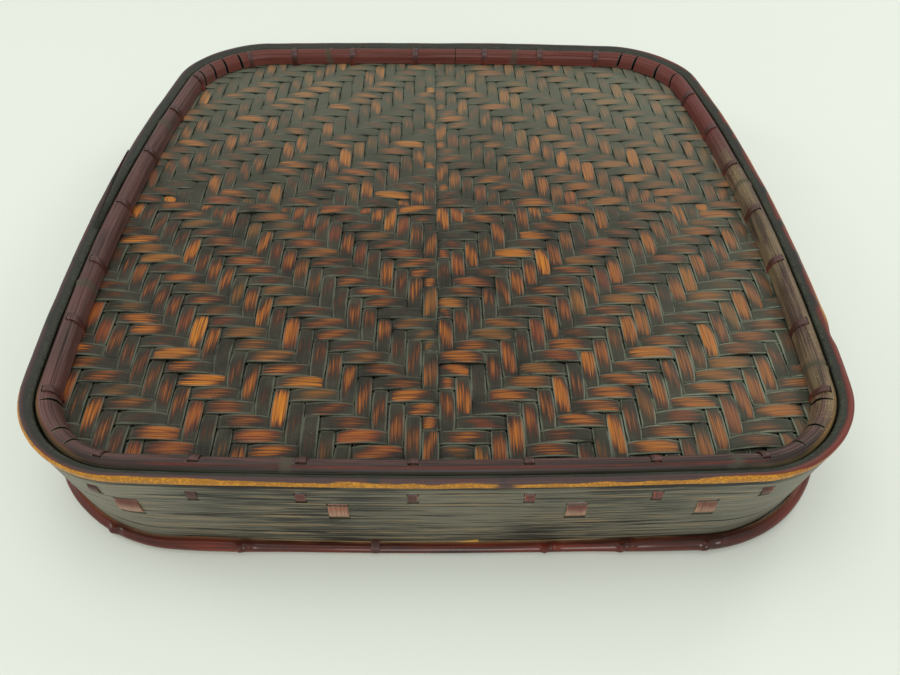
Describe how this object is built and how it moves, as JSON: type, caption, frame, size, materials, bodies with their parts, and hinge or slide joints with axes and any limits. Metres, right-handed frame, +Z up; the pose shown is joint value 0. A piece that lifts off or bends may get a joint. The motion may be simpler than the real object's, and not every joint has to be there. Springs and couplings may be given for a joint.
{
  "type": "rice basket",
  "caption": "Shallow square rice basket of bent bamboo, a twill-woven base lashed into a round-cornered side band, standing on its open mouth.",
  "frame": {"origin": "middle of the open mouth, on the surface that the basket stands on", "axes": "+Z up from the mouth to the woven base, +X to the right side, -Y towards the front as pictured"},
  "size_m": [0.393, 0.4062, 0.053],
  "materials": {
    "band": "worn dark bamboo board, satin",
    "rim_strip": "dark split bamboo, dusty on top",
    "ring": "rubbed half culm, satin",
    "weave": "charcoal and orange-brown bamboo strips, worn",
    "hoop": "split bamboo, dull",
    "tie": "red-brown cane strip, satin",
    "lace": "pink-brown cane strip, satin",
    "rod": "glossy dark thin culm"
  },
  "bodies": {
    "root": {"base_rim_strip": "rim_strip", "base_clamp_ring": "ring", "woven_base": "weave", "side_band": "band", "inner_hoop": "hoop", "mouth_rod": "rod", "mouth_strip": "hoop", "ring_tie_right_1": "tie", "ring_tie_right_2": "tie", "ring_tie_right_3": "tie", "ring_tie_right_4": "tie", "ring_tie_right_5": "tie", "ring_tie_right_6": "tie", "ring_tie_right_7": "tie", "ring_tie_back_1": "tie", "ring_tie_back_2": "tie", "ring_tie_back_3": "tie", "ring_tie_back_4": "tie", "ring_tie_back_5": "tie", "ring_tie_back_6": "tie", "ring_tie_back_7": "tie", "ring_tie_left_1": "tie", "ring_tie_left_2": "tie", "ring_tie_left_3": "tie", "ring_tie_left_4": "tie", "ring_tie_left_5": "tie", "ring_tie_left_6": "tie", "ring_tie_left_7": "tie", "ring_tie_front_1": "tie", "ring_tie_front_2": "tie", "ring_tie_front_3": "tie", "ring_tie_front_4": "tie", "ring_tie_front_5": "tie", "ring_tie_front_6": "tie", "ring_tie_front_7": "tie", "hoop_lace_right_1": "lace", "hoop_lace_right_2": "lace", "hoop_lace_right_3": "lace", "hoop_lace_right_4": "lace", "hoop_lace_back_1": "lace", "hoop_lace_back_2": "lace", "hoop_lace_back_3": "lace", "hoop_lace_back_4": "lace", "hoop_lace_left_1": "lace", "hoop_lace_left_2": "lace", "hoop_lace_left_3": "lace", "hoop_lace_left_4": "lace", "hoop_lace_front_1": "lace", "hoop_lace_front_2": "lace", "hoop_lace_front_3": "lace", "hoop_lace_front_4": "lace", "mouth_tie_right_1": "tie", "mouth_tie_back_1": "tie", "mouth_tie_left_1": "tie", "mouth_tie_front_1": "tie"}
  },
  "joints": []
}
